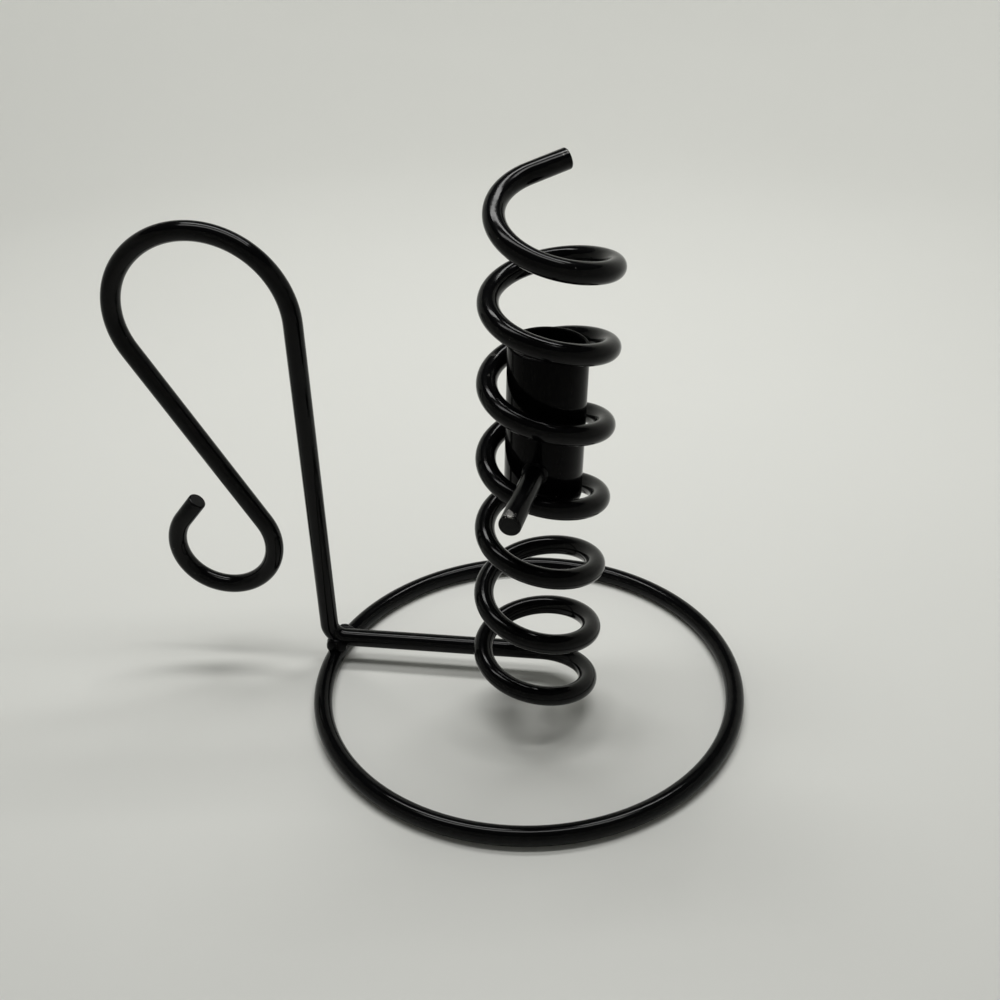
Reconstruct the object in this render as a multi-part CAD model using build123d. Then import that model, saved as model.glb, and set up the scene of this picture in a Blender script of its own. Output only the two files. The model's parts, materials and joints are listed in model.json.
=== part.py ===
"""Spiral candle holder of bent round wire, in millimetres.

A ring of wire lies on the table. A second wire stands on it: it is bent into a tall carrying
handle on the left, and runs on as an arm that winds up into a left-handed spiral. A candle
cup rides inside the spiral. Its rod sticks out between two turns and rests on the wire, so
turning the rod clockwise, seen from above, screws the cup and its candle up.

+X points from the handle to the spiral, +Y to the back, +Z up from the table.
"""

from build123d import *
import math
import os

# Wire stock and how it is cut and joined; its section has flats instead of a round
WIRE_DIAMETER = 4.8
WIRE_SIDES = 12
CUT_CHAMFER = 0.4
WELD_GAP = 0.2

# Base ring, measured on the wire's centre line
RING_RADIUS = 55.8

# Spiral: its axis stands right of the ring's centre and in front of the arm
SPIRAL_RADIUS = 13.9
SPIRAL_PITCH = 19.85
SPIRAL_RIGHT = 2.6
SPIRAL_FORWARD = 5.8
# The real spiral leans away from the handle by this angle
SPIRAL_LEAN = 2.5
# The wire ends in a straight piece, after this many turns
SPIRAL_TURNS = 6.91
TAIL_LENGTH = 10.3

# How the spiral climbs, as turns, share of the pitch climbed, and climb rate as a share of
# the pitch per turn: it rises evenly where the rod rides, and less so near both ends
CLIMB_SHARES = [
    (0.5, 0.418, 0.815),
    (1.2, 0.977, 1),
    (5.35, 5.127, 1),
    (6.0, 5.778, 0.952),
    (6.5, 6.222, 1.113),
    (6.91, 6.791, 1.013),
]
# How its radius closes in near the top, as turns, share of the radius, and rate of change
RADIUS_SHARES = [(0, 1, 0), (6.1, 1, 0), (6.91, 0.918, 0)]

# Handle, from the corner on the ring to the cut end of its curl: its upright stands this far
# outside the place where the arm crosses the ring
RISER_OUTSIDE = 1.8
CORNER_RADIUS = 4.5
RISER_TOP = 102.9
LOOP_RADIUS = 23.3
LOOP_TURN = 143.0
LOOP_CLOSING_RADIUS = 20.5
LOOP_CLOSING_TURN = 67.0
SLANT_LENGTH = 57.0
CURL_RADIUS = 14.2
CURL_TURN = 138.0
CURL_CLOSING_RADIUS = 12.7
CURL_CLOSING_TURN = 137.0

# Candle cup: a tube whose foot turns in round a disc
CUP_DIAMETER = 18.8
CUP_WALL = 0.9
CUP_HEIGHT = 39.8
CUP_LIP_CHAMFER = 0.3
FLOOR_THICKNESS = 1.5
FOOT_LIP = 1.1
FLOOR_CLEARANCE = 0.3

# Lift rod: where it rests on the spiral, counted in turns from the arm
ROD_DIAMETER = 4.8
ROD_TURN = 3.52
ROD_REACH = 32.2
ROD_ABOVE_FOOT = 10.8
ROD_RUNNING_GAP = 0.3

# Weld beads: radius, and their facets as shares of the radius, height first
RING_BEAD_RADIUS = 3.3
REAR_BEAD_RADIUS = 2.3
BEAD_SIDES = 8
BEAD_SHARES = [(-1, 0.35), (-0.6, 0.8), (0, 1), (0.6, 0.8), (1, 0.35)]
ROD_BEAD_HEIGHT = 1.4
ROD_BEAD_LENGTH = 1.7

# How finely the least gap of the wire to itself is measured
GAP_STEPS_PER_TURN = 48
FULL_TURN = 360.0

wire_radius = WIRE_DIAMETER / 2
rod_radius = ROD_DIAMETER / 2
cup_radius = CUP_DIAMETER / 2
bore_radius = cup_radius - CUP_WALL
foot_radius = bore_radius - FOOT_LIP

# The arm lies across the top of the ring, and its line is tangent to the back of the spiral
arm_height = wire_radius + WIRE_DIAMETER + WELD_GAP
arm_back = SPIRAL_RADIUS - SPIRAL_FORWARD
# How far left of the ring's centre the arm crosses the ring, and the upright stands
crossing_reach = math.sqrt(RING_RADIUS ** 2 - arm_back ** 2)
riser_reach = crossing_reach + RISER_OUTSIDE

# The footprint is centred on the origin: the handle overhangs the ring on the left
loop_swing = math.cos(math.radians(LOOP_TURN))
handle_reach = (riser_reach + LOOP_RADIUS + LOOP_CLOSING_RADIUS + wire_radius
                - (LOOP_RADIUS - LOOP_CLOSING_RADIUS) * loop_swing)
ring_reach = RING_RADIUS + wire_radius
ring_x = (handle_reach - ring_reach) / 2
crossing_x = ring_x - crossing_reach
riser_x = ring_x - riser_reach

spiral_frame = Plane(
    origin=(ring_x + SPIRAL_RIGHT, -SPIRAL_FORWARD, arm_height),
    x_dir=(math.cos(math.radians(SPIRAL_LEAN)), 0, -math.sin(math.radians(SPIRAL_LEAN))),
    z_dir=(math.sin(math.radians(SPIRAL_LEAN)), 0, math.cos(math.radians(SPIRAL_LEAN))),
)
turn_length = 2 * math.pi * SPIRAL_RADIUS
# The wire leaves the arm level, which is a slight climb in the leaning frame
first_climb = turn_length * math.tan(math.radians(SPIRAL_LEAN))
climb_shares = [(0, 0, first_climb / SPIRAL_PITCH)] + CLIMB_SHARES


def along_table(table, turn):
    """Value and rate of change at a turn, on a smooth curve through a table's rows."""
    for (low, start, leave), (high, end, arrive) in zip(table, table[1:]):
        if turn <= high:
            break
    span = high - low
    s = (turn - low) / span
    leave, arrive = leave * span, arrive * span
    value = start + leave * s + (3 * (end - start) - 2 * leave - arrive) * s ** 2
    value += (2 * (start - end) + leave + arrive) * s ** 3
    rate = leave + 2 * (3 * (end - start) - 2 * leave - arrive) * s
    rate += 3 * (2 * (start - end) + leave + arrive) * s ** 2
    return value, rate / span


def climb(turn):
    """Height of the spiral's centre line above the arm, along the spiral's axis."""
    return SPIRAL_PITCH * along_table(climb_shares, turn)[0]


def azimuth(turn):
    """Angle about the spiral's axis: from the back, clockwise seen from above."""
    return math.radians(FULL_TURN / 4 - FULL_TURN * turn)


def spiral_point(turn):
    radius = SPIRAL_RADIUS * along_table(RADIUS_SHARES, turn)[0]
    a = azimuth(turn)
    return spiral_frame.from_local_coords(Vector(radius * math.cos(a), radius * math.sin(a), climb(turn)))


def spiral_heading(turn):
    """Direction of the wire: forward along the turn, closing in, and climbing."""
    share, closing = along_table(RADIUS_SHARES, turn)
    a = azimuth(turn)
    forward = Vector(math.sin(a), -math.cos(a), 0) * (turn_length * share)
    inward = Vector(math.cos(a), math.sin(a), 0) * (SPIRAL_RADIUS * closing)
    upward = Vector(0, 0, SPIRAL_PITCH * along_table(climb_shares, turn)[1])
    world = spiral_frame.from_local_coords(forward + inward + upward) - spiral_frame.origin
    return world.normalized()


def biarc(start, start_heading, end, end_heading):
    """Two arcs that meet smoothly and keep the heading at both ends."""
    chord = end - start
    both = start_heading + end_heading
    spread = 2 * (1 - start_heading.dot(end_heading))
    along = chord.dot(both)
    reach = (math.sqrt(along ** 2 + spread * chord.dot(chord)) - along) / spread
    near = start + start_heading * reach
    far = end - end_heading * reach
    middle = (near + far) * 0.5
    return [
        Edge.make_tangent_arc(start, start_heading, middle),
        Edge.make_tangent_arc(middle, (far - near).normalized(), end),
    ]


def spiral_edges():
    """The spiral as biarcs of a quarter turn, and its straight tail to the cut end."""
    quarters = int(SPIRAL_TURNS * 4)
    turns = [quarter / 4 for quarter in range(quarters + 1)] + [SPIRAL_TURNS]
    edges = []
    for low, high in zip(turns, turns[1:]):
        edges += biarc(spiral_point(low), spiral_heading(low), spiral_point(high), spiral_heading(high))
    tail_start = edges[-1] @ 1
    tail = (edges[-1] % 1) * TAIL_LENGTH
    return edges + [Edge.make_line(tail_start, tail_start + tail)]


class WirePath:
    """A bending machine for the flat handle: it feeds straight runs and bends arcs."""

    def __init__(self, x, z, heading):
        self.x = x
        self.z = z
        self.heading = heading
        self.edges = []

    def point(self):
        return Vector(self.x, arm_back, self.z)

    def run(self, length):
        start = self.point()
        self.x += length * math.cos(math.radians(self.heading))
        self.z += length * math.sin(math.radians(self.heading))
        self.edges.append(Edge.make_line(start, self.point()))

    def bend(self, radius, turn):
        """Bends to the left by a positive turn, to the right by a negative one."""
        start = self.point()
        side = math.copysign(radius, turn)
        centre_x = self.x - side * math.sin(math.radians(self.heading))
        centre_z = self.z + side * math.cos(math.radians(self.heading))
        points = []
        for share in (1 / 2, 1):
            angle = math.radians(self.heading + turn * share)
            points.append((centre_x + side * math.sin(angle), centre_z - side * math.cos(angle)))
        middle = Vector(points[0][0], arm_back, points[0][1])
        self.x, self.z = points[1]
        self.heading += turn
        self.edges.append(Edge.make_three_point_arc(start, middle, self.point()))


def handle_path():
    """The handle from the end of the corner, down on the ring, to the curl's cut end."""
    path = WirePath(riser_x + CORNER_RADIUS, arm_height, FULL_TURN / 2)
    path.bend(CORNER_RADIUS, -FULL_TURN / 4)
    path.run(RISER_TOP - arm_height - CORNER_RADIUS)
    path.bend(LOOP_RADIUS, LOOP_TURN)
    path.bend(LOOP_CLOSING_RADIUS, LOOP_CLOSING_TURN)
    path.run(SLANT_LENGTH)
    path.bend(CURL_RADIUS, -CURL_TURN)
    path.bend(CURL_CLOSING_RADIUS, -CURL_CLOSING_TURN)
    return path.edges


def spiral_path():
    """The arm, from the end of the corner to the back of the spiral, and the spiral."""
    start = Vector(riser_x + CORNER_RADIUS, arm_back, arm_height)
    return [Edge.make_line(start, spiral_point(0))] + spiral_edges()


def wire_section():
    """The wire's section: its flats are as far apart as the round wire is thick."""
    half_side = FULL_TURN / 2 / WIRE_SIDES
    return RegularPolygon(wire_radius, WIRE_SIDES, major_radius=False, rotation=half_side)


def tube_along(edges, cut_end):
    """Wire along a path, with the edge of the far cut end broken."""
    path = Wire(edges)
    section = Plane(origin=edges[0] @ 0, z_dir=edges[0] % 0) * wire_section()
    tube = sweep(sections=section, path=path, clean=False)
    end_face = tube.faces().filter_by(GeomType.PLANE).sort_by_distance(cut_end)[0]
    return chamfer(end_face.edges(), CUT_CHAMFER)


def make_base_ring():
    section = Plane(origin=(RING_RADIUS, 0, 0), z_dir=(0, 1, 0)) * wire_section()
    return Pos(ring_x, 0, wire_radius) * revolve(section, Axis.Z, FULL_TURN)


def make_handle_wire():
    edges = handle_path()
    return tube_along(edges, edges[-1] @ 1)


def make_spiral_wire():
    edges = spiral_path()
    return tube_along(edges, edges[-1] @ 1)


def bead(centre, radius, neighbours):
    """A rounded bead of weld, less the pieces that it joins."""
    sections = []
    for height_share, width_share in BEAD_SHARES:
        ring = RegularPolygon(radius * width_share, BEAD_SIDES)
        sections.append(Pos(0, 0, radius * height_share) * ring)
    drop = Pos(*centre) * loft(sections, ruled=True)
    for piece in neighbours:
        drop -= piece
    return drop.solids().sort_by(SortBy.VOLUME)[-1]


def make_ring_weld(wires):
    """The bead in the crook under the corner, on the front of the arm."""
    centre = (crossing_x, arm_back - wire_radius / 2, WIRE_DIAMETER)
    return bead(centre, RING_BEAD_RADIUS, wires)


def make_rear_weld(neighbours):
    """The smaller bead behind the arm, on top of the ring."""
    centre = (crossing_x + wire_radius, arm_back + wire_radius, arm_height)
    return bead(centre, REAR_BEAD_RADIUS, neighbours)


# The cup's own places, along the spiral's axis: the rod rests on the wire
climb_angle = math.atan(SPIRAL_PITCH / turn_length)
rod_height = climb(ROD_TURN) + (wire_radius + rod_radius + ROD_RUNNING_GAP) / math.cos(climb_angle)
cup_foot = rod_height - ROD_ABOVE_FOOT
rod_frame = spiral_frame * Pos(0, 0, rod_height) * Rot(0, 0, math.degrees(azimuth(ROD_TURN)))
rod_frame = rod_frame * Rot(0, FULL_TURN / 4, 0)


def in_spiral(shape, height):
    """Places a round piece on the spiral's axis."""
    return spiral_frame * Pos(0, 0, height) * shape


def cup_body():
    """The cup's full outer cylinder, which the rod and its weld are fitted to."""
    upright = (Align.CENTER, Align.CENTER, Align.MIN)
    return in_spiral(Cylinder(cup_radius, CUP_HEIGHT, align=upright), cup_foot)


def make_cup_tube():
    upright = (Align.CENTER, Align.CENTER, Align.MIN)
    tube = Cylinder(cup_radius, CUP_HEIGHT, align=upright)
    tube = chamfer(tube.edges().sort_by(Axis.Z)[-1], CUP_LIP_CHAMFER)
    tube -= Pos(0, 0, FLOOR_THICKNESS) * Cylinder(bore_radius, CUP_HEIGHT, align=upright)
    tube -= Cylinder(foot_radius, CUP_HEIGHT, align=upright)
    return in_spiral(tube, cup_foot)


def make_cup_floor():
    upright = (Align.CENTER, Align.CENTER, Align.MIN)
    disc = Cylinder(foot_radius - FLOOR_CLEARANCE, FLOOR_THICKNESS, align=upright)
    return in_spiral(disc, cup_foot)


def make_lift_rod():
    upright = (Align.CENTER, Align.CENTER, Align.MIN)
    rod = Cylinder(rod_radius, ROD_REACH, align=upright)
    rod = chamfer(rod.edges().sort_by(Axis.Z)[-1], CUT_CHAMFER)
    return rod_frame * rod - cup_body()


def make_rod_weld():
    """A bead round the rod's root, sloping from the cup's wall to the rod."""
    upright = (Align.CENTER, Align.CENTER, Align.MIN)
    length = cup_radius + ROD_BEAD_LENGTH - bore_radius
    cone = Cone(rod_radius + ROD_BEAD_HEIGHT, rod_radius, length, align=upright)
    cone -= Cylinder(rod_radius, length, align=upright)
    return rod_frame * Pos(0, 0, bore_radius) * cone - cup_body()


def least_gap(edges):
    """The least space between the wire and itself, measured on points of its centre line."""
    points = []
    for edge in edges:
        steps = max(2, math.ceil(GAP_STEPS_PER_TURN * edge.length / turn_length))
        points += [edge @ (step / steps) for step in range(steps)]
    best = math.inf
    along = [0.0]
    for here, there in zip(points, points[1:]):
        along.append(along[-1] + (there - here).length)
    for i, here in enumerate(points):
        for j in range(i + 1, len(points)):
            if along[j] - along[i] > turn_length / 2:
                best = min(best, (points[j] - here).length)
    return best - WIRE_DIAMETER


def solid_of(shape):
    """The one solid that a node holds."""
    solids = shape.solids()
    assert len(solids) == 1, "a node holds one solid"
    return solids[0]


os.makedirs("parts", exist_ok=True)
base_ring = make_base_ring()
handle_wire = make_handle_wire()
spiral_wire = make_spiral_wire()
wires = (base_ring, handle_wire, spiral_wire)
ring_weld = make_ring_weld(wires)
nodes = {
    "base_ring": base_ring,
    "handle_wire": handle_wire,
    "spiral_wire": spiral_wire,
    "ring_weld": ring_weld,
    "rear_weld": make_rear_weld((*wires, ring_weld)),
    "cup_tube": make_cup_tube(),
    "cup_floor": make_cup_floor(),
    "lift_rod": make_lift_rod(),
    "rod_weld": make_rod_weld(),
}
for name, shape in nodes.items():
    solid = solid_of(shape)
    export_step(solid, f"parts/{name}.step")
    size = solid.bounding_box().size
    print(f"{name}: {solid.volume:.1f} mm3, {size.X:.2f} x {size.Y:.2f} x {size.Z:.2f} mm")

section_area = math.pi * wire_radius ** 2
for name, edges in (("handle_wire", handle_path()), ("spiral_wire", spiral_path())):
    length = sum(edge.length for edge in edges)
    share = nodes[name].volume / (length * section_area)
    print(f"{name}: {length:.1f} mm of wire, volume over section times length {share:.4f}")
    print(f"{name}: least gap to itself {least_gap(edges):.2f} mm")
origin = spiral_frame.from_local_coords(Vector(0, 0, cup_foot))
print("spiral axis point at the cup's foot", [round(v, 4) for v in origin])
print("spiral axis direction", [round(v, 6) for v in spiral_frame.z_dir])
print("rod height above the table", round(spiral_frame.from_local_coords(Vector(0, 0, rod_height)).Z, 3))
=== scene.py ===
# %% [markdown]
# # Spiral candle holder of black enamelled wire
#
# The real holder is three lengths of thick round wire, a thin cup and a short rod, welded together
# and dipped in gloss black enamel. The solids of the CAD model give every place and size. This
# script gives each of them a rounder, finer mesh and a real finish, and lights it like the
# photograph. It is written as a lesson: each step says what the piece is, how it could be made, and
# why it is made this way.

import json
import math

import bmesh
import bpy
from mathutils import Matrix, Vector, noise


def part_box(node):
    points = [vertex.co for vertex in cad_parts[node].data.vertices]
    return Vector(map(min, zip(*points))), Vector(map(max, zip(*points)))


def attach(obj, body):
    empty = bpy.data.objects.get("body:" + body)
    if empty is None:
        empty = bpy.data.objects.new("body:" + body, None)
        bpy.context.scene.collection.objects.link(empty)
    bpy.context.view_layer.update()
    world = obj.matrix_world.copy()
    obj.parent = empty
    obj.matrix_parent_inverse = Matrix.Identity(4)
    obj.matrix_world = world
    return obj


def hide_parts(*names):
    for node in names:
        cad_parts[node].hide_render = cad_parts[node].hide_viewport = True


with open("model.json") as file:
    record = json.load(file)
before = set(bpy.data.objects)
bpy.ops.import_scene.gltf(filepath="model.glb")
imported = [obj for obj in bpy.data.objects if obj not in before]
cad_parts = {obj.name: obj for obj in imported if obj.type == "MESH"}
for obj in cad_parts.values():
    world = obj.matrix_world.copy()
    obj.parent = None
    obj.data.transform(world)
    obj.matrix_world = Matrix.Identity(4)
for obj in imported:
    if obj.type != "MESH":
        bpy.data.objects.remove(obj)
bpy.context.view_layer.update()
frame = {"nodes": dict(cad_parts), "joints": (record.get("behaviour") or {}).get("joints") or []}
print("CAD nodes:", ", ".join(sorted(frame["nodes"])))

# %% [markdown]
# ## Sizes that come from the frame
#
# Blender works in metres here, in the same frame as the CAD model: +X from the handle to the
# spiral, +Y to the back, +Z up. A size could be typed in again, but it is safer to measure it on
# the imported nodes, because then the looks can't drift away from the solids. The ring gives the
# thickness of the wire, the cup gives its own width, and the hinge gives the leaning axis. The
# solids' wires have twelve flat sides. The round wire goes through their corners, which stand a
# little further out than the flats, because the photographed wire looks thicker rather than thinner.

# %% Measure the wire, the ring, the cup and the leaning axis
MM = 0.001
HAIR = 0.01 * MM
FULL_TURN = 2 * math.pi
SOLID_WIRE_SIDES = 12

ring_low, ring_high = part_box("base_ring")
flat_radius = (ring_high.z - ring_low.z) / 2
wire_radius = flat_radius / math.cos(math.pi / SOLID_WIRE_SIDES) - HAIR
ring_centre = (ring_low + ring_high) / 2
ring_centre.z = wire_radius
ring_radius = (ring_high.y - ring_low.y) / 2 - wire_radius - HAIR

cup_low, cup_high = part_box("cup_tube")
cup_radius = (cup_high.y - cup_low.y) / 2
disc_low, disc_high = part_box("cup_floor")
disc_radius = (disc_high.y - disc_low.y) / 2

joints = {joint["name"]: joint for joint in frame["joints"]}
cup_foot = Vector(joints["cup_turn"]["pos_m"])
spiral_axis = Vector(joints["cup_turn"]["axis"]).normalized()
for name, radius in (("wire", wire_radius), ("ring", ring_radius), ("cup", cup_radius)):
    print(f"{name}: {2 * radius / MM:.2f} mm across")

# %% [markdown]
# ## The camera
#
# The photograph was taken from in front and above, a little to the right, with the camera
# tipped slightly. The place, the two aiming angles and the tilt were solved from the outline of the wires,
# so they are set as plain numbers here. Aiming by a Track To constraint would lose the tilt.

# %% Place the camera
CAMERA_PLACE = Vector((59.475, -266.065, 229.651)) * MM
CAMERA_TURN = math.radians(8.977)
CAMERA_DOWN = math.radians(32.063)
CAMERA_TILT = math.radians(-1.755)
IMAGE_SIDE = 1000
FOCAL_PIXELS = 1273.536
SENSOR_WIDTH = 36.0
NEAREST = 10 * MM

lens = bpy.data.cameras.new("camera")
lens.sensor_width = SENSOR_WIDTH
lens.lens = FOCAL_PIXELS / IMAGE_SIDE * SENSOR_WIDTH
lens.clip_start = NEAREST
camera = bpy.data.objects.new("camera", lens)
aim = Matrix.Rotation(CAMERA_TURN, 4, "Z") @ Matrix.Rotation(math.pi / 2 - CAMERA_DOWN, 4, "X")
aim = aim @ Matrix.Rotation(CAMERA_TILT, 4, "Z")
camera.matrix_world = Matrix.Translation(CAMERA_PLACE) @ aim
bpy.context.scene.collection.objects.link(camera)
bpy.context.scene.camera = camera
print(f"lens {lens.lens:.1f} mm")

# %% [markdown]
# ## Small helpers for node trees
#
# A material is a tree of nodes. Making each node takes three or four lines, so a few helpers keep
# the materials readable: `add` makes a node and fills its sockets by name, `join` links two sockets,
# `ramp` turns one range of values into another, `blend` mixes two colours, and `calculate` does one
# step of arithmetic.

# %% Helpers for materials
def add(tree, kind, settings=None, **sockets):
    """A new node of this kind, with its settings and its input sockets filled in."""
    node = tree.nodes.new(kind)
    for name, value in (settings or {}).items():
        setattr(node, name, value)
    for name, value in sockets.items():
        node.inputs[name.replace("_", " ")].default_value = value
    return node


def join(tree, source, output, target, socket):
    """Links an output of one node to an input of another."""
    tree.links.new(source.outputs[output], target.inputs[socket])


def ramp(tree, source, output, new, old=(0.0, 1.0)):
    """A node that turns the old range of a value into the new one."""
    node = add(tree, "ShaderNodeMapRange", From_Min=old[0], From_Max=old[1], To_Min=new[0], To_Max=new[1])
    join(tree, source, output, node, "Value")
    return node


def blend(tree, source, output, first=None, second=None):
    """A mix of two colours by a factor; a colour left out is linked later."""
    node = add(tree, "ShaderNodeMix", {"data_type": "RGBA"})
    join(tree, source, output, node, "Factor")
    for socket, colour in (("A", first), ("B", second)):
        if colour:
            node.inputs[socket].default_value = (*colour, 1)
    return node


def calculate(tree, operation, source, output, value):
    """One operation on an output and a plain number, or the Value output of another node."""
    node = add(tree, "ShaderNodeMath", {"operation": operation})
    join(tree, source, output, node, 0)
    if isinstance(value, bpy.types.Node):
        join(tree, value, "Value", node, 1)
    else:
        node.inputs[1].default_value = value
    return node


def new_material(name):
    """A material with an empty node tree, and its shader and output."""
    material = bpy.data.materials.new(name)
    material.use_nodes = True
    tree = material.node_tree
    tree.nodes.clear()
    shader = add(tree, "ShaderNodeBsdfPrincipled")
    output = add(tree, "ShaderNodeOutputMaterial")
    join(tree, shader, "BSDF", output, "Surface")
    return material, tree, shader


# %% [markdown]
# ## The table and the backdrop
#
# In the photograph the holder stands in a small photo tent on a pale, warm grey sweep without an
# edge. A flat plane would show its horizon in low views. A bowl is better: a flat disc whose rim
# curves up into a low wall, the same from all sides. It is made by spinning a short profile. It is
# as small as a real tent, because gloss black shows the floor and the walls that stand round it.

# %% Spin the sweep
FLOOR_REACH = 0.47
SWEEP_RADIUS = 0.33
SWEEP_HEIGHT = 0.62
SWEEP_SIDES = 128
SWEEP_BEND_STEPS = 24

sweep = bmesh.new()
middle = sweep.verts.new((0, 0, 0))
rim = sweep.verts.new((FLOOR_REACH, 0, 0))
sweep.edges.new((middle, rim))
bent = bmesh.ops.spin(sweep, geom=[rim], cent=(FLOOR_REACH, 0, SWEEP_RADIUS), axis=(0, -1, 0),
                      angle=math.pi / 2, steps=SWEEP_BEND_STEPS)
top = [g for g in bent["geom_last"] if isinstance(g, bmesh.types.BMVert)]
raised = bmesh.ops.extrude_vert_indiv(sweep, verts=top)
bmesh.ops.translate(sweep, verts=raised["verts"], vec=(0, 0, SWEEP_HEIGHT - SWEEP_RADIUS))
bmesh.ops.spin(sweep, geom=sweep.verts[:] + sweep.edges[:], cent=(0, 0, 0), axis=(0, 0, 1),
               angle=FULL_TURN, steps=SWEEP_SIDES, use_merge=True)
bmesh.ops.remove_doubles(sweep, verts=sweep.verts, dist=HAIR)
bmesh.ops.recalc_face_normals(sweep, faces=sweep.faces)
sweep_mesh = bpy.data.meshes.new("sweep")
sweep.to_mesh(sweep_mesh)
sweep.free()
sweep_mesh.shade_smooth()
table = bpy.data.objects.new("sweep", sweep_mesh)
bpy.context.scene.collection.objects.link(table)
print("sweep:", len(sweep_mesh.polygons), "faces")

# %% [markdown]
# The paper isn't one flat grey. It is mottled a little by noise. Its colour also carries painted shade,
# which makes it darker towards the viewer as in the photograph, and painted light, which makes it paler
# at the back and up the wall. Painting this into the paper's colour keeps the lamps plain, and it stays
# the same in every view.

# %% Paper for the sweep, with painted shade and painted light
DARKER_PAPER = (0.765, 0.768, 0.735)
PALER_PAPER = (0.795, 0.798, 0.765)
FRONT_TO_BACK = (-0.16, 0.60)
# Painted shade towards the front and painted light towards the back, as factors on the paper's colour
PAINTED_LIGHT_FRONT_TO_BACK = (0.85, 1.08)
WALL_HEIGHTS = (0.0, 0.30)
PAINTED_LIGHT_UP_WALL = (1.0, 1.18)

paper, tree, shader = new_material("paper")
shader.inputs["Roughness"].default_value = 0.6
shader.inputs["Specular IOR Level"].default_value = 0.2
place = add(tree, "ShaderNodeTexCoord")
cloud = add(tree, "ShaderNodeTexNoise", Scale=6.0, Detail=2.0)
join(tree, place, "Object", cloud, "Vector")
tone = blend(tree, cloud, "Fac", DARKER_PAPER, PALER_PAPER)
apart = add(tree, "ShaderNodeSeparateXYZ")
join(tree, place, "Object", apart, "Vector")
# Painted shade and light: the paper's colour is 0.85 times as bright at the front and 1.08 times at the
# back
painted_light_by_depth = ramp(tree, apart, "Y", PAINTED_LIGHT_FRONT_TO_BACK, FRONT_TO_BACK)
# Painted light: the paper's colour gets up to 1.18 times paler up the wall
painted_light_by_height = ramp(tree, apart, "Z", PAINTED_LIGHT_UP_WALL, WALL_HEIGHTS)
painted_light_both_ways = add(tree, "ShaderNodeMath", {"operation": "MULTIPLY"})
join(tree, painted_light_by_depth, "Result", painted_light_both_ways, 0)
join(tree, painted_light_by_height, "Result", painted_light_both_ways, 1)
# The mottled tone is scaled by the painted shade and painted light
paper_with_painted_light = add(tree, "ShaderNodeVectorMath", {"operation": "SCALE"})
join(tree, tone, "Result", paper_with_painted_light, 0)
join(tree, painted_light_both_ways, "Value", paper_with_painted_light, "Scale")
join(tree, paper_with_painted_light, "Vector", shader, "Base Color")
sweep_mesh.materials.append(paper)
print("materials:", paper.name)

# %% [markdown]
# ## Light
#
# The tent is lit by two bars of light in its roof, one straight over the holder and one behind it.
# They run across the camera's view, not along the handle. Their two thin lines run along the top of
# every wire, and each wire casts two soft shadows. One broad panel would be easier, but it draws a
# wide grey band on every wire and loses that. Strong fill would be wrong as well, because black
# gloss is drawn only by what it reflects.

# %% Hang the lamps
ROOF_HEIGHT = 0.62
BAR_LENGTH = 0.56
BAR_WIDTH = 0.090
BAR_COLOUR = (1.0, 1.0, 0.985)
MIDDLE_BAR_Y = -0.010
MIDDLE_BAR_WATTS = 1.44
BACK_BAR_Y = 0.225
BACK_BAR_WATTS = 2.22
DIM_WORLD = 0.06
across_view = Matrix.Rotation(CAMERA_TURN, 4, "Z")


def roof_bar(name, place_y, power):
    """A long lamp that shines down from the roof, across the camera's view, and isn't seen itself."""
    lamp = bpy.data.lights.new(name, "AREA")
    lamp.shape = "RECTANGLE"
    lamp.size = BAR_LENGTH
    lamp.size_y = BAR_WIDTH
    lamp.energy = power
    lamp.color = BAR_COLOUR
    holder = bpy.data.objects.new(name, lamp)
    holder.matrix_world = Matrix.Translation((0, place_y, ROOF_HEIGHT)) @ across_view
    holder.visible_camera = False
    bpy.context.scene.collection.objects.link(holder)


roof_bar("roof_bar_middle", MIDDLE_BAR_Y, MIDDLE_BAR_WATTS)
roof_bar("roof_bar_back", BACK_BAR_Y, BACK_BAR_WATTS)

world = bpy.data.worlds.new("tent")
world.use_nodes = True
bpy.context.scene.world = world
sky = world.node_tree.nodes["Background"]
sky.inputs["Color"].default_value = (0.96, 0.98, 1.0, 1)
sky.inputs["Strength"].default_value = DIM_WORLD
bpy.context.scene.view_settings.view_transform = "Standard"

# %% [markdown]
# ## Gloss black enamel
#
# Every wire wears the same thick enamel. Up close it isn't a flat black: it has a fine orange peel,
# slow swells where it ran and dried, patches that are a little duller, and a few specks of dust.
# All of it comes from noise on Object coordinates, so that it stays on the piece in every view.
# Where the coating is chipped, a mask turns the same shader into bare steel.
#
# Real enamel reflects more than this one. The photograph's dark tones are crushed almost to zero, so
# the specular level is set well below a real one, to give the same tones.

# %% Specks of dust and ragged chips
DUST_SCALE = 420.0
DUST_RADIUS = 0.055
DUST_SHARE = 0.14
CHIP_GRAIN = 2600.0


def dust_specks(tree, place):
    """1 on a few tiny specks of dust under the enamel, 0 elsewhere."""
    cells = add(tree, "ShaderNodeTexVoronoi", Scale=DUST_SCALE)
    join(tree, place, "Object", cells, "Vector")
    small = calculate(tree, "LESS_THAN", cells, "Distance", DUST_RADIUS)
    pick = add(tree, "ShaderNodeSeparateColor")
    join(tree, cells, "Color", pick, "Color")
    few = calculate(tree, "GREATER_THAN", pick, "Red", 1 - DUST_SHARE)
    return calculate(tree, "MULTIPLY", small, "Value", few)


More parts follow.
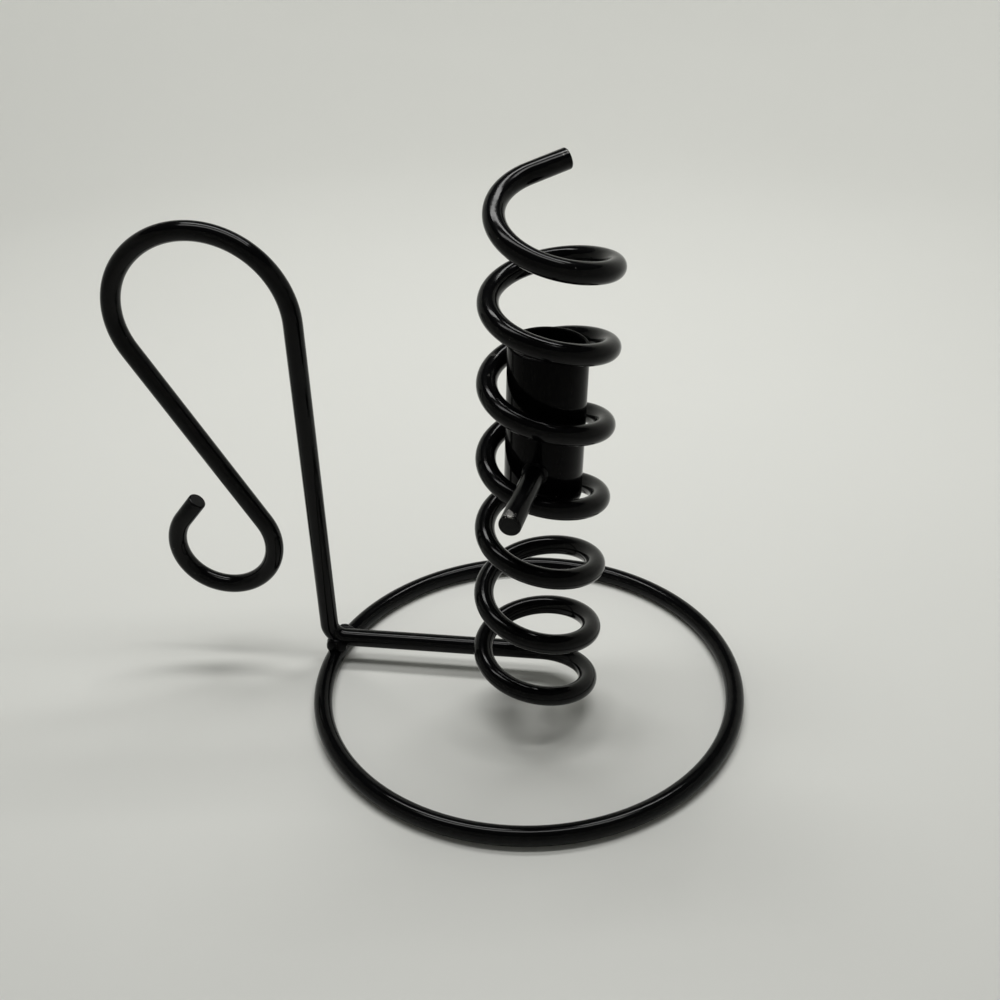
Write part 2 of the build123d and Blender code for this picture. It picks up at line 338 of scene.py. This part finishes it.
def chip_mask(tree, place, spots):
    """1 on small ragged chips round the given places, 0 elsewhere."""
    ragged = add(tree, "ShaderNodeTexNoise", Scale=CHIP_GRAIN, Detail=2.0)
    join(tree, place, "Object", ragged, "Vector")
    total = None
    for spot, size in spots:
        away = add(tree, "ShaderNodeVectorMath", {"operation": "DISTANCE"})
        away.inputs[1].default_value = spot
        join(tree, place, "Object", away, 0)
        frayed = calculate(tree, "MULTIPLY_ADD", ragged, "Fac", 2.0 * size)
        join(tree, away, "Value", frayed, 2)
        inside = calculate(tree, "LESS_THAN", frayed, "Value", 1.6 * size)
        total = calculate(tree, "MAXIMUM", total, "Value", inside) if total else inside
    return total


# %% [markdown]
# The skin of the enamel is bump only, because its waves are far finer than the mesh: slow runs first,
# and the orange peel on top of them. Under a chip the enamel's colour gives way to steel that is
# still partly covered, so it is only part metal.

# %% Mix the enamel
PEEL_SCALE = 850.0
PEEL_DEPTH = 0.012 * MM
SWELL_SCALE = 110.0
SWELL_DEPTH = 0.10 * MM
DARKEST_ENAMEL = (0.0011, 0.0011, 0.0013)
PALEST_ENAMEL = (0.0024, 0.0025, 0.0027)
DUST_GREY = (0.07, 0.07, 0.068)
DUST_ROUGHNESS = 0.7
STEEL_TINT = (1.0, 0.985, 0.94)
CHIP_METAL = 0.4


def bump(tree, place, scale, depth, below=None):
    """A bump from noise, on top of the bump below it."""
    waves = add(tree, "ShaderNodeTexNoise", Scale=scale, Detail=2.0)
    join(tree, place, "Object", waves, "Vector")
    node = add(tree, "ShaderNodeBump", Strength=1.0, Distance=depth)
    join(tree, waves, "Fac", node, "Height")
    if below:
        join(tree, below, "Normal", node, "Normal")
    return node


def enamel(name, dull=0.12, peel=1.0, shine=0.14, chips=(), under=0.3):
    """Gloss black enamel; dull is its roughness, peel its orange peel, under the grey below its chips."""
    material, tree, shader = new_material(name)
    shader.inputs["Specular IOR Level"].default_value = shine
    place = add(tree, "ShaderNodeTexCoord")
    cloud = add(tree, "ShaderNodeTexNoise", Scale=160.0, Detail=4.0, Roughness=0.6)
    join(tree, place, "Object", cloud, "Vector")
    dust = dust_specks(tree, place)

    clean = blend(tree, cloud, "Fac", DARKEST_ENAMEL, PALEST_ENAMEL)
    colour = blend(tree, dust, "Value", second=DUST_GREY)
    join(tree, clean, "Result", colour, "A")
    if chips:
        bare = chip_mask(tree, place, chips)
        enamelled = colour
        colour = blend(tree, bare, "Value", second=[under * tint for tint in STEEL_TINT])
        join(tree, enamelled, "Result", colour, "A")
        part_metal = calculate(tree, "MULTIPLY", bare, "Value", CHIP_METAL)
        join(tree, part_metal, "Value", shader, "Metallic")
    join(tree, colour, "Result", shader, "Base Color")

    gloss = ramp(tree, cloud, "Fac", (0.75 * dull, 1.35 * dull), (0.3, 0.7))
    rougher = add(tree, "ShaderNodeMix", {"data_type": "FLOAT"})
    rougher.inputs["B"].default_value = DUST_ROUGHNESS
    join(tree, dust, "Value", rougher, "Factor")
    join(tree, gloss, "Result", rougher, "A")
    join(tree, rougher, "Result", shader, "Roughness")

    runs = bump(tree, place, SWELL_SCALE, SWELL_DEPTH)
    skin = bump(tree, place, PEEL_SCALE, PEEL_DEPTH * peel, runs)
    join(tree, skin, "Normal", shader, "Normal")
    return material


# %% [markdown]
# ## The dull cut ends
#
# The wire was sawn off before it was dipped. On the sawn faces the enamel is thin and matt, with
# the saw's lines under it. The same enamel with more roughness, and waves across it as bump, is
# enough, because these faces are less than 5 mm across.

# %% Mix the finish of the cut ends
DARK_SAWN = (0.0030, 0.0030, 0.0033)
PALE_SAWN = (0.0105, 0.0105, 0.0105)
SAW_LINE_DEPTH = 0.02 * MM
SAWN_PIT_DEPTH = 0.03 * MM


def sawn_enamel(name):
    """Thin matt enamel over a sawn face."""
    material, tree, shader = new_material(name)
    shader.inputs["Specular IOR Level"].default_value = 0.15
    place = add(tree, "ShaderNodeTexCoord")
    grain = add(tree, "ShaderNodeTexNoise", Scale=1500.0, Detail=4.0, Roughness=0.7)
    join(tree, place, "Object", grain, "Vector")
    lines = add(tree, "ShaderNodeTexWave", {"bands_direction": "DIAGONAL"}, Scale=900.0, Distortion=3.0)
    join(tree, place, "Object", lines, "Vector")
    colour = blend(tree, grain, "Fac", DARK_SAWN, PALE_SAWN)
    join(tree, colour, "Result", shader, "Base Color")
    rough = ramp(tree, grain, "Fac", (0.45, 0.75))
    join(tree, rough, "Result", shader, "Roughness")
    sawn = add(tree, "ShaderNodeBump", Strength=1.0, Distance=SAW_LINE_DEPTH)
    join(tree, lines, "Fac", sawn, "Height")
    pits = add(tree, "ShaderNodeBump", Strength=1.0, Distance=SAWN_PIT_DEPTH)
    join(tree, grain, "Fac", pits, "Height")
    join(tree, sawn, "Normal", pits, "Normal")
    join(tree, pits, "Normal", shader, "Normal")
    return material


wire_enamel = enamel("wire_enamel")
cut_enamel = sawn_enamel("cut_enamel")
print("materials:", wire_enamel.name, cut_enamel.name)

# %% [markdown]
# ## A bending machine for wire
#
# A curve with a round bevel would give wire quickly, but its cap and its section can't be shaped.
# Bent wire is better made as it is made in the shop. A round mouth of vertices is the end of the
# wire. Feeding it out is an extrude along a straight line, bending it is a spin about a pin, and
# winding it is a spin that also climbs. Every helper takes the mouth and hands back the new one.

# %% Start, feed and bend
WIRE_SIDES = 40
BEND_STEP = math.radians(3)


def start_wire(place, heading, radius=wire_radius):
    """A new wire with an open mouth that faces the heading, and its edges."""
    wire = bmesh.new()
    facing = Vector(heading).to_track_quat("Z", "Y").to_matrix().to_4x4()
    bmesh.ops.create_circle(wire, cap_ends=False, segments=WIRE_SIDES, radius=radius,
                            matrix=Matrix.Translation(place) @ facing)
    return wire, wire.edges[:]


def corners_of(mouth):
    """The vertices of a mouth, once each, in the order of its edges."""
    return list(dict.fromkeys(vert for edge in mouth for vert in edge.verts))


def centre_of(mouth):
    """The middle of a mouth."""
    corners = corners_of(mouth)
    return sum((vert.co for vert in corners), Vector()) / len(corners)


def heading_of(mouth):
    """The way a mouth faces, along the wire; its sign is left open."""
    # The two ends of one edge are always neighbours, so their cross product is never zero
    one, other = mouth[0].verts
    middle = centre_of(mouth)
    return (one.co - middle).cross(other.co - middle).normalized()


def feed(wire, mouth, run):
    """Feeds the wire out along a straight run."""
    made = bmesh.ops.extrude_edge_only(wire, edges=mouth)["geom"]
    corners = {g for g in made if isinstance(g, bmesh.types.BMVert)}
    bmesh.ops.translate(wire, verts=list(corners), vec=run)
    return [g for g in made if isinstance(g, bmesh.types.BMEdge) and corners.issuperset(g.verts)]


def bend(wire, mouth, pin, axis, angle):
    """Bends the wire round a pin, in small equal steps."""
    steps = math.ceil(abs(angle) / BEND_STEP)
    spun = bmesh.ops.spin(wire, geom=corners_of(mouth) + mouth, cent=pin, axis=axis,
                          angle=angle, steps=steps)
    return [g for g in spun["geom_last"] if isinstance(g, bmesh.types.BMEdge)]


# %% [markdown]
# A sawn end is flat, with its sharp edge just broken by the enamel. Filling the mouth gives the flat
# face, and a small three-step bevel rounds its rim. Last, `finish_piece` merges doubles, turns the
# faces outwards, keeps sharp creases sharp, and hands the mesh to the body that it rides on.

# %% Cut the end and finish a piece
CUT_ROUNDING = 0.45 * MM
CUT_ROUNDING_STEPS = 3
SHARP_CREASE = math.radians(50)
MERGE_DISTANCE = 0.002 * MM


def close_mouth(wire, mouth, rounding=0.0):
    """Fills a mouth with a flat face; a rounding also breaks its rim and marks the face as sawn."""
    filled = bmesh.ops.edgeloop_fill(wire, edges=mouth)["faces"]
    if rounding:
        filled[0].material_index = 1
        bmesh.ops.bevel(wire, geom=mouth, offset=rounding, offset_type="OFFSET",
                        segments=CUT_ROUNDING_STEPS, profile=0.5, affect="EDGES", material=0)


def finish_piece(name, shape, materials, body, *nodes):
    """Makes the shape an object at the origin that rides on its body and stands for its nodes."""
    bmesh.ops.remove_doubles(shape, verts=shape.verts, dist=MERGE_DISTANCE)
    bmesh.ops.recalc_face_normals(shape, faces=shape.faces)
    mesh = bpy.data.meshes.new(name)
    shape.to_mesh(mesh)
    shape.free()
    mesh.shade_smooth()
    mesh.set_sharp_from_angle(angle=SHARP_CREASE)
    for material in materials:
        mesh.materials.append(material)
    piece = bpy.data.objects.new(name, mesh)
    bpy.context.scene.collection.objects.link(piece)
    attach(piece, body)
    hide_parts(*nodes)
    print(f"{name}: {len(mesh.polygons)} faces")
    return piece


# %% [markdown]
# ## The base ring
#
# The ring is one hoop of wire, butt-welded and ground smooth, so it has no end. A torus primitive
# would do, but bending the mouth through a full turn uses the same helper as every other wire. The
# last mouth lands on the first, and merging doubles closes the seam.

# %% Bend the base ring
ring_start = ring_centre + Vector((ring_radius, 0, 0))
ring_wire, mouth = start_wire(ring_start, (0, 1, 0))
bend(ring_wire, mouth, ring_centre, (0, 0, 1), FULL_TURN)
finish_piece("base_hoop", ring_wire, [wire_enamel], "frame", "base_ring")

# %% [markdown]
# ## The carrying handle
#
# The handle is the same wire that makes the arm. From the corner on the ring it goes straight up,
# over a wide loop of two radii, slants back down, and curls under to a cut end. All of it lies in
# one upright plane. The pin of each bend is found from the mouth's own place and heading, as on a
# bending bench, so only lengths, radii and angles are needed. The photograph shows the last 8 mm of
# the curl straight, where the solid's curl goes on bending, so the looks leave the solid there.

# %% Bend the handle
CORNER_RADIUS = 4.5 * MM
RISER_TOP = 102.9 * MM
SLANT_LENGTH = 57.0 * MM
LOOP_BENDS = [(23.25 * MM, 143), (20.45 * MM, 67)]
CURL_BENDS = [(14.2 * MM, 138), (12.7 * MM, 111)]
CURL_END = 7.8 * MM

handle_low, handle_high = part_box("handle_wire")
spiral_low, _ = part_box("spiral_wire")
arm_height = spiral_low.z + flat_radius
handle_back = (handle_low.y + handle_high.y) / 2
corner_start = Vector((spiral_low.x, handle_back, arm_height))


def bend_on_bench(wire, mouth, heading, radius, degrees):
    """Bends in the handle's plane, to the left by a positive angle; gives the new mouth and heading."""
    side = math.copysign(radius, degrees)
    to_pin = Vector((-heading.z, 0, heading.x)) * side
    turn = math.radians(degrees)
    mouth = bend(wire, mouth, centre_of(mouth) + to_pin, (0, -1, 0), turn)
    return mouth, Matrix.Rotation(-turn, 3, "Y") @ heading


handle, first_mouth = start_wire(corner_start, (-1, 0, 0))
mouth, heading = bend_on_bench(handle, first_mouth, Vector((-1, 0, 0)), CORNER_RADIUS, -90)
mouth = feed(handle, mouth, heading * (RISER_TOP - arm_height - CORNER_RADIUS))
for radius, degrees in LOOP_BENDS:
    mouth, heading = bend_on_bench(handle, mouth, heading, radius, degrees)
mouth = feed(handle, mouth, heading * SLANT_LENGTH)
for radius, degrees in CURL_BENDS:
    mouth, heading = bend_on_bench(handle, mouth, heading, radius, -degrees)
mouth = feed(handle, mouth, heading * CURL_END)
print("curl ends at", [round(value / MM, 1) for value in centre_of(mouth)])
close_mouth(handle, first_mouth)
close_mouth(handle, mouth, CUT_ROUNDING)
finish_piece("handle", handle, [wire_enamel, cut_enamel], "frame", "handle_wire")

# %% [markdown]
# ## The spiral
#
# The arm runs to the back of the spiral and the wire winds up from there, left-handed. A Screw
# modifier makes an even helix, but this one leans, starts level with the arm, closes in at the top
# and ends in a straight tail. So the mouth is wound in small steps: each step spins it about the
# leaning axis while it climbs, moves it in or out, and tilts it by as much as the climb has
# steepened. The climb and the radius at any turn come from the same short tables as the solid. The
# straight tail is half a millimetre shorter than the solid's, as it is in the photograph.
# Use has left a few grey nicks in its enamel, on the third turn and at the rim of the cut end.

# %% How the spiral climbs and closes in
SPIRAL_RADIUS = 13.9 * MM
SPIRAL_PITCH = 19.85 * MM
SPIRAL_TURNS = 6.91
TAIL_LENGTH = 9.8 * MM
STEPS_PER_TURN = 72

lean = math.atan2(spiral_axis.x, spiral_axis.z)
turn_length = FULL_TURN * SPIRAL_RADIUS
first_climb_share = turn_length * math.tan(lean) / SPIRAL_PITCH
climb_shares = [
    (0, 0, first_climb_share),
    (0.5, 0.418, 0.815),
    (1.2, 0.977, 1),
    (5.35, 5.127, 1),
    (6.0, 5.778, 0.952),
    (6.5, 6.222, 1.113),
    (6.91, 6.791, 1.013),
]
radius_shares = [(0, 1, 0), (6.1, 1, 0), (6.91, 0.918, 0)]


def along_table(table, turn):
    """Value and rate of change at a turn, on a smooth curve through a table's rows."""
    for (low, start, leave), (high, end, arrive) in zip(table, table[1:]):
        if turn <= high:
            break
    span = high - low
    s = (turn - low) / span
    leave, arrive = leave * span, arrive * span
    value = start + leave * s + (3 * (end - start) - 2 * leave - arrive) * s ** 2
    value += (2 * (start - end) + leave + arrive) * s ** 3
    rate = leave + 2 * (3 * (end - start) - 2 * leave - arrive) * s
    rate += 3 * (2 * (start - end) + leave + arrive) * s ** 2
    return value, rate / span


def climb_angle(turn):
    """How steeply the wire climbs at a turn."""
    rate = SPIRAL_PITCH * along_table(climb_shares, turn)[1]
    return math.atan2(rate, turn_length * along_table(radius_shares, turn)[0])


def closing_angle(turn):
    """How far the wire's heading turns in at a turn, while the spiral closes in."""
    share, rate = along_table(radius_shares, turn)
    return math.atan2(-rate, FULL_TURN * share)


# %% Wind the spiral
def wind(wire, mouth, axis_point, turns):
    """Winds the wire up round the leaning axis, and gives the last mouth."""
    steps = math.ceil(turns * STEPS_PER_TURN)
    for step in range(steps):
        now, then = turns * step / steps, turns * (step + 1) / steps
        climb = SPIRAL_PITCH * (along_table(climb_shares, then)[0] - along_table(climb_shares, now)[0])
        spun = bmesh.ops.spin(wire, geom=corners_of(mouth) + mouth, cent=axis_point, axis=spiral_axis,
                              angle=-FULL_TURN * (then - now), dvec=spiral_axis * climb, steps=1)
        mouth = [g for g in spun["geom_last"] if isinstance(g, bmesh.types.BMEdge)]
        centre = centre_of(mouth)
        outward = centre - axis_point
        outward = (outward - spiral_axis * outward.dot(spiral_axis)).normalized()
        wider = along_table(radius_shares, then)[0] - along_table(radius_shares, now)[0]
        steeper = Matrix.Rotation(climb_angle(now) - climb_angle(then), 3, outward)
        inward = Matrix.Rotation(closing_angle(now) - closing_angle(then), 3, spiral_axis)
        bmesh.ops.rotate(wire, verts=corners_of(mouth), cent=centre, matrix=inward @ steeper)
        bmesh.ops.translate(wire, verts=corners_of(mouth), vec=outward * (SPIRAL_RADIUS * wider))
    return mouth


axis_point = cup_foot - spiral_axis * ((cup_foot.z - arm_height) / spiral_axis.z)
spiral, first_mouth = start_wire(corner_start, (1, 0, 0))
mouth = feed(spiral, first_mouth, Vector((axis_point.x - corner_start.x, 0, 0)))
mouth = wind(spiral, mouth, axis_point, SPIRAL_TURNS)
heading = heading_of(mouth)
if heading.x < 0:
    heading.negate()
mouth = feed(spiral, mouth, heading * TAIL_LENGTH)
tail_end = centre_of(mouth)
print("spiral ends at", [round(value / MM, 1) for value in tail_end])
close_mouth(spiral, first_mouth)
close_mouth(spiral, mouth, CUT_ROUNDING)

# %% Nick its enamel and finish it
NICK_SIDE = Vector((0.1, -0.55, 0.83))
NICK_SINK = 0.97
WORN_GREY = 0.07

on_tail = tail_end + NICK_SIDE * (NICK_SINK * wire_radius)
nicks = [
    (Vector((17.1, -0.9, 101.3)) * MM, 1.1 * MM),
    (Vector((17.0, -8.3, 99.6)) * MM, 0.6 * MM),
    (on_tail - heading * (0.3 * MM), 0.8 * MM),
    (on_tail - heading * (1.6 * MM), 0.6 * MM),
]
spiral_enamel = enamel("spiral_enamel", chips=nicks, under=WORN_GREY)
finish_piece("spiral", spiral, [spiral_enamel, cut_enamel], "frame", "spiral_wire")

# %% [markdown]
# ## The welds
#
# A weld is metal that melted and froze: a few lumps that ran into each other, with ripples and the
# enamel over them. Lumps are placed as stretched balls, joined by a voxel remesh, smoothed, and then
# rippled by noise. A single ball would look like a bead of glue.

# %% Pour a weld from lumps
VOXEL = 0.22 * MM
LUMP_DETAIL = 4
SMOOTH_SHARE = 0.5
SMOOTH_ROUNDS = 12
RIPPLE_LENGTH = 0.9 * MM
RING_WELD_RIPPLE = 0.06 * MM
REAR_WELD_RIPPLE = 0.10 * MM


def pour_lumps(name, lumps, ripple):
    """A mesh of lumps that ran together: each is (place, radii), in metres."""
    pool = bmesh.new()
    for place, radii in lumps:
        made = bmesh.ops.create_icosphere(pool, subdivisions=LUMP_DETAIL, radius=1.0)
        bmesh.ops.scale(pool, vec=radii, verts=made["verts"])
        bmesh.ops.translate(pool, vec=place, verts=made["verts"])
    mesh = bpy.data.meshes.new(name)
    pool.to_mesh(mesh)
    pool.free()
    blank = bpy.data.objects.new(name, mesh)
    bpy.context.scene.collection.objects.link(blank)
    melt = blank.modifiers.new("melt", "REMESH")
    melt.mode = "VOXEL"
    melt.voxel_size = VOXEL
    smooth = blank.modifiers.new("smooth", "SMOOTH")
    smooth.factor = SMOOTH_SHARE
    smooth.iterations = SMOOTH_ROUNDS
    melted = bpy.data.meshes.new_from_object(blank.evaluated_get(bpy.context.evaluated_depsgraph_get()))
    bpy.data.objects.remove(blank)
    weld = bmesh.new()
    weld.from_mesh(melted)
    for vert in weld.verts:
        vert.co += vert.normal * ripple * noise.noise(vert.co / RIPPLE_LENGTH)
    return weld


ring_weld_low, ring_weld_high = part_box("ring_weld")
rear_weld_low, rear_weld_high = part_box("rear_weld")
ring_bead = (ring_weld_low + ring_weld_high) / 2
rear_bead = (rear_weld_low + rear_weld_high) / 2
weld_enamel = enamel("weld_enamel", dull=0.24, peel=2.0, shine=0.08)
print("welds at", [[round(v / MM, 1) for v in bead] for bead in (ring_bead, rear_bead)])

# %% Pour the two welds on the ring
ring_lumps = [
    (ring_bead + Vector((0.0, -0.7, 0.2)) * MM, Vector((2.7, 1.9, 2.7)) * MM),
    (ring_bead + Vector((1.5, -0.2, 0.2)) * MM, Vector((1.6, 1.6, 2.2)) * MM),
    (ring_bead + Vector((-0.9, 0.6, 0.6)) * MM, Vector((1.9, 1.9, 2.3)) * MM),
    (ring_bead + Vector((0.0, 1.4, -0.2)) * MM, Vector((2.3, 1.7, 2.2)) * MM),
]
weld = pour_lumps("weld_pool", ring_lumps, RING_WELD_RIPPLE)
finish_piece("corner_weld", weld, [weld_enamel], "frame", "ring_weld")

rear_lumps = [
    (rear_bead + Vector((-0.9, 0.1, 0.0)) * MM, Vector((2.1, 1.7, 1.9)) * MM),
    (rear_bead + Vector((0.9, -0.3, 0.2)) * MM, Vector((1.5, 1.2, 1.4)) * MM),
]
weld = pour_lumps("pebble_pool", rear_lumps, REAR_WELD_RIPPLE)
finish_piece("pebble_weld", weld, [weld_enamel], "frame", "rear_weld")

# %% [markdown]
# ## The candle cup
#
# The cup is a thin drawn tube, open at the top, whose foot turns in under the candle. A tube like
# this is turned on a lathe in one go: draw half of its section as a closed loop of edges, spin it
# right round, and round its rims with a bevel. It is built upright at the origin and then leaned
# with one matrix, so that its section stays easy to read.

# %% Turn the cup on a lathe
CUP_WALL = 0.9 * MM
CUP_HEIGHT = 39.8 * MM
DISC_THICKNESS = 1.5 * MM
FOOT_ROUNDING = 1.1 * MM
LIP_ROUNDING = 0.35 * MM
DISC_PLAY = 0.3 * MM
LATHE_STEPS = 120
LATHE_MERGE = 0.001 * MM

bore_radius = cup_radius - CUP_WALL
foot_hole = disc_radius + DISC_PLAY
in_spiral = Matrix.Translation(cup_foot) @ spiral_axis.to_track_quat("Z", "Y").to_matrix().to_4x4()


def turn_on_lathe(section):
    """Spins a closed section of (radius, height) corners round the Z axis."""
    shape = bmesh.new()
    corners = [shape.verts.new((radius, 0, height)) for radius, height in section]
    for here, there in zip(corners, corners[1:] + corners[:1]):
        shape.edges.new((here, there))
    bmesh.ops.spin(shape, geom=shape.verts[:] + shape.edges[:], cent=(0, 0, 0), axis=(0, 0, 1),
                   angle=FULL_TURN, steps=LATHE_STEPS, use_merge=True)
    bmesh.ops.remove_doubles(shape, verts=shape.verts, dist=LATHE_MERGE)
    bmesh.ops.recalc_face_normals(shape, faces=shape.faces)
    return shape


def hoop(shape, radius, height):
    """The edges of one circle of a turned shape."""
    def on_it(vert):
        return abs(vert.co.xy.length - radius) < HAIR and abs(vert.co.z - height) < HAIR
    return [edge for edge in shape.edges if on_it(edge.verts[0]) and on_it(edge.verts[1])]


def round_hoop(shape, radius, height, rounding, segments):
    """Rounds the edges of one circle."""
    bmesh.ops.bevel(shape, geom=hoop(shape, radius, height), offset=rounding, offset_type="OFFSET",
                    segments=segments, profile=0.5, affect="EDGES", material=-1)


cup = turn_on_lathe([
    (foot_hole, 0), (cup_radius, 0), (cup_radius, CUP_HEIGHT), (bore_radius, CUP_HEIGHT),
    (bore_radius, DISC_THICKNESS), (foot_hole, DISC_THICKNESS),
])
round_hoop(cup, cup_radius, 0, FOOT_ROUNDING, 6)
round_hoop(cup, cup_radius, CUP_HEIGHT, LIP_ROUNDING, 4)
round_hoop(cup, bore_radius, CUP_HEIGHT, LIP_ROUNDING, 4)
bmesh.ops.transform(cup, matrix=in_spiral, verts=cup.verts)
cup_enamel = enamel("cup_enamel", dull=0.11, peel=0.7, shine=0.05)
finish_piece("cup", cup, [cup_enamel], "cup", "cup_tube")

# %% [markdown]
# ## The disc in the cup's foot
#
# The candle stands on a plain disc. It is turned like the cup, with a slightly dished top where the
# candle's foot sits. It rides on the body that only rises, and the cup turns round it.

# %% Turn the disc
DISC_DISH = 0.25 * MM
DISC_LAND = 1.4 * MM
DISC_ROUNDING = 0.2 * MM
PINHOLE = 0.02 * MM

disc = turn_on_lathe([
    (PINHOLE, 0), (disc_radius, 0), (disc_radius, DISC_THICKNESS),
    (disc_radius - DISC_LAND, DISC_THICKNESS), (disc_radius - 2 * DISC_LAND, DISC_THICKNESS - DISC_DISH),
    (PINHOLE, DISC_THICKNESS - DISC_DISH),
])
round_hoop(disc, disc_radius, DISC_THICKNESS, DISC_ROUNDING, 3)
round_hoop(disc, disc_radius, 0, DISC_ROUNDING, 3)
bmesh.ops.transform(disc, matrix=in_spiral, verts=disc.verts)
disc_enamel = enamel("disc_enamel", dull=0.3, peel=2.0)
finish_piece("disc", disc, [disc_enamel], "carriage", "cup_floor")

# %% [markdown]
# ## The lift rod and its weld
#
# A short rod of the same wire is welded to the cup and rests on the spiral: it is the finger hold
# that screws the cup up. It looks a little thicker than the wire and lies on it, so its radius takes
# up the play that the solids need between them. It is fed out from inside the cup's wall with the
# wire helpers, so its root shows no gap. Its sawn end has lost a flake of enamel, which shows bare
# steel. The weld round its root is turned on the lathe as a low fillet, roughened by noise, and laid
# on the rod's axis.

# %% Feed out the rod
ROD_TURN = 3.52
ROD_REACH = 32.2 * MM
ROD_ABOVE_FOOT = 10.8 * MM
ROD_RADIUS = 2.61 * MM

rod_azimuth = math.pi / 2 - FULL_TURN * ROD_TURN
sideways = Vector((math.cos(lean), 0, -math.sin(lean)))
rod_heading = sideways * math.cos(rod_azimuth) + Vector((0, 1, 0)) * math.sin(rod_azimuth)
rod_middle = cup_foot + spiral_axis * ROD_ABOVE_FOOT
rod_root = rod_middle + rod_heading * (cup_radius - CUP_WALL / 2)
rod_end = rod_middle + rod_heading * ROD_REACH

rod, first_mouth = start_wire(rod_root, rod_heading, ROD_RADIUS)
mouth = feed(rod, first_mouth, rod_end - rod_root)
close_mouth(rod, first_mouth)
close_mouth(rod, mouth, CUT_ROUNDING)
across_rod = rod_heading.cross(spiral_axis)
chip_places = [
    (rod_end - rod_heading * (0.9 * MM) + spiral_axis * (2.4 * MM) + across_rod * (0.3 * MM), 1.7 * MM),
    (rod_end - rod_heading * (2.4 * MM) + spiral_axis * (2.5 * MM) + across_rod * (0.9 * MM), 0.7 * MM),
]
rod_enamel = enamel("rod_enamel", dull=0.2, chips=chip_places)
finish_piece("rod", rod, [rod_enamel, cut_enamel], "cup", "lift_rod")

# %% Lay the weld round its root
BEAD_WIDTH = 0.55 * MM
BEAD_LENGTH = 0.8 * MM
BEAD_OVERLAP = 0.1 * MM
BEAD_SINK = 0.05 * MM
BEAD_RIPPLE = 0.12 * MM
BEAD_RIPPLE_LENGTH = 0.8 * MM

bead = turn_on_lathe([
    (ROD_RADIUS - BEAD_OVERLAP, 0),
    (ROD_RADIUS + BEAD_WIDTH, 0),
    (ROD_RADIUS + BEAD_WIDTH, 0.75 * CUP_WALL),
    (ROD_RADIUS + 0.55 * BEAD_WIDTH, CUP_WALL + 0.30 * BEAD_LENGTH),
    (ROD_RADIUS + 0.18 * BEAD_WIDTH, CUP_WALL + 0.65 * BEAD_LENGTH),
    (ROD_RADIUS - BEAD_OVERLAP, CUP_WALL + BEAD_LENGTH),
])
along_rod = rod_heading.to_track_quat("Z", "Y").to_matrix().to_4x4()
laid = Matrix.Translation(rod_middle + rod_heading * (bore_radius + BEAD_SINK)) @ along_rod
bmesh.ops.transform(bead, matrix=laid, verts=bead.verts)
bead.normal_update()
for vert in bead.verts:
    vert.co += vert.normal * BEAD_RIPPLE * noise.noise(vert.co / BEAD_RIPPLE_LENGTH)
finish_piece("rod_bead", bead, [weld_enamel], "cup", "rod_weld")
